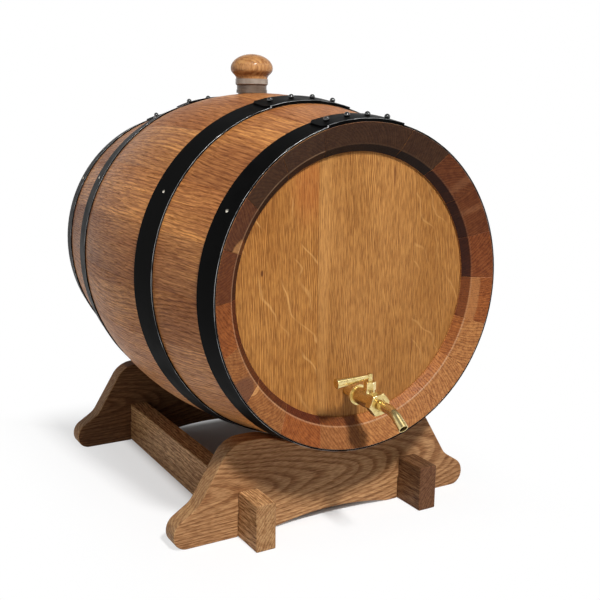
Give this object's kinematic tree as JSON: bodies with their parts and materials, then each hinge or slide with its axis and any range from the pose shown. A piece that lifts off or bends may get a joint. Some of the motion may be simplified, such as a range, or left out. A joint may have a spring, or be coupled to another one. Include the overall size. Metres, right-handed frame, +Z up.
{
  "type": "cask dispenser",
  "caption": "Oak cask lying on a notched timber cradle, with black steel hoops, a bung on top and a small brass lever tap low in its front head.",
  "frame": {"origin": "on the ground, below the middle of the whole object's box", "axes": "+Y along the cask away from the tap, +Z up, +X to the right of someone facing the tap"},
  "size_m": [0.3294, 0.463, 0.4269],
  "materials": {
    "stave_oak": "oiled",
    "head_oak": "oiled",
    "cradle_oak": "oiled",
    "dowel_beech": "bare",
    "knob_wood": "varnished",
    "hoop_steel": "satin black",
    "rivet_steel": "gloss black",
    "tack_steel": "bright",
    "stopper_silicone": "translucent",
    "tap_brass": "polished",
    "ball_chrome": "polished",
    "valve_seal": "plain"
  },
  "bodies": {
    "cradle": {"front_plate": "cradle_oak", "left_crossbar": "cradle_oak", "rear_plate": "cradle_oak", "right_crossbar": "cradle_oak"},
    "cask": {"bung_stave": "stave_oak", "front_end_hoop": "hoop_steel", "front_end_hoop_rivets": "rivet_steel", "front_head_dowels": "dowel_beech", "front_head_left_board": "head_oak", "front_head_middle_board": "head_oak", "front_head_right_board": "head_oak", "front_quarter_hoop": "hoop_steel", "front_quarter_hoop_rivets": "rivet_steel", "hoop_tacks": "tack_steel", "rear_end_hoop": "hoop_steel", "rear_end_hoop_rivets": "rivet_steel", "rear_head_dowels": "dowel_beech", "rear_head_left_board": "head_oak", "rear_head_middle_board": "head_oak", "rear_head_right_board": "head_oak", "rear_quarter_hoop": "hoop_steel", "rear_quarter_hoop_rivets": "rivet_steel", "stave_01": "stave_oak", "stave_02": "stave_oak", "stave_03": "stave_oak", "stave_04": "stave_oak", "stave_05": "stave_oak", "stave_06": "stave_oak", "stave_07": "stave_oak", "stave_08": "stave_oak", "stave_09": "stave_oak", "stave_10": "stave_oak", "stave_11": "stave_oak", "stave_12": "stave_oak", "stave_13": "stave_oak", "stave_14": "stave_oak", "stave_15": "stave_oak", "stave_16": "stave_oak", "stave_17": "stave_oak", "stave_18": "stave_oak", "tap_body": "tap_brass", "tap_end_nut": "tap_brass", "tap_gland_nut": "tap_brass", "tap_inner_ball_seat": "valve_seal", "tap_outer_ball_seat": "valve_seal", "tap_spout": "tap_brass", "tap_stem_packing": "valve_seal"},
    "bung": {"bung_knob": "knob_wood", "bung_stopper": "stopper_silicone"},
    "tap_valve": {"tap_ball": "ball_chrome", "tap_lever": "tap_brass", "tap_stem": "tap_brass"}
  },
  "joints": [
    {"name": "cask_lift", "type": "slide", "parent": "cradle", "child": "cask", "axis": [0, 0, 1], "range_m": [0, 0.12]},
    {"name": "bung_lift", "type": "slide", "parent": "cask", "child": "bung", "axis": [0, 0, 1], "range_m": [0, 0.06]},
    {"name": "tap_turn", "type": "hinge", "parent": "cask", "child": "tap_valve", "pos_m": [-0.0052, -0.17996, 0.1327], "axis": [0, 0, 1], "range_deg": [0, 90]}
  ]
}
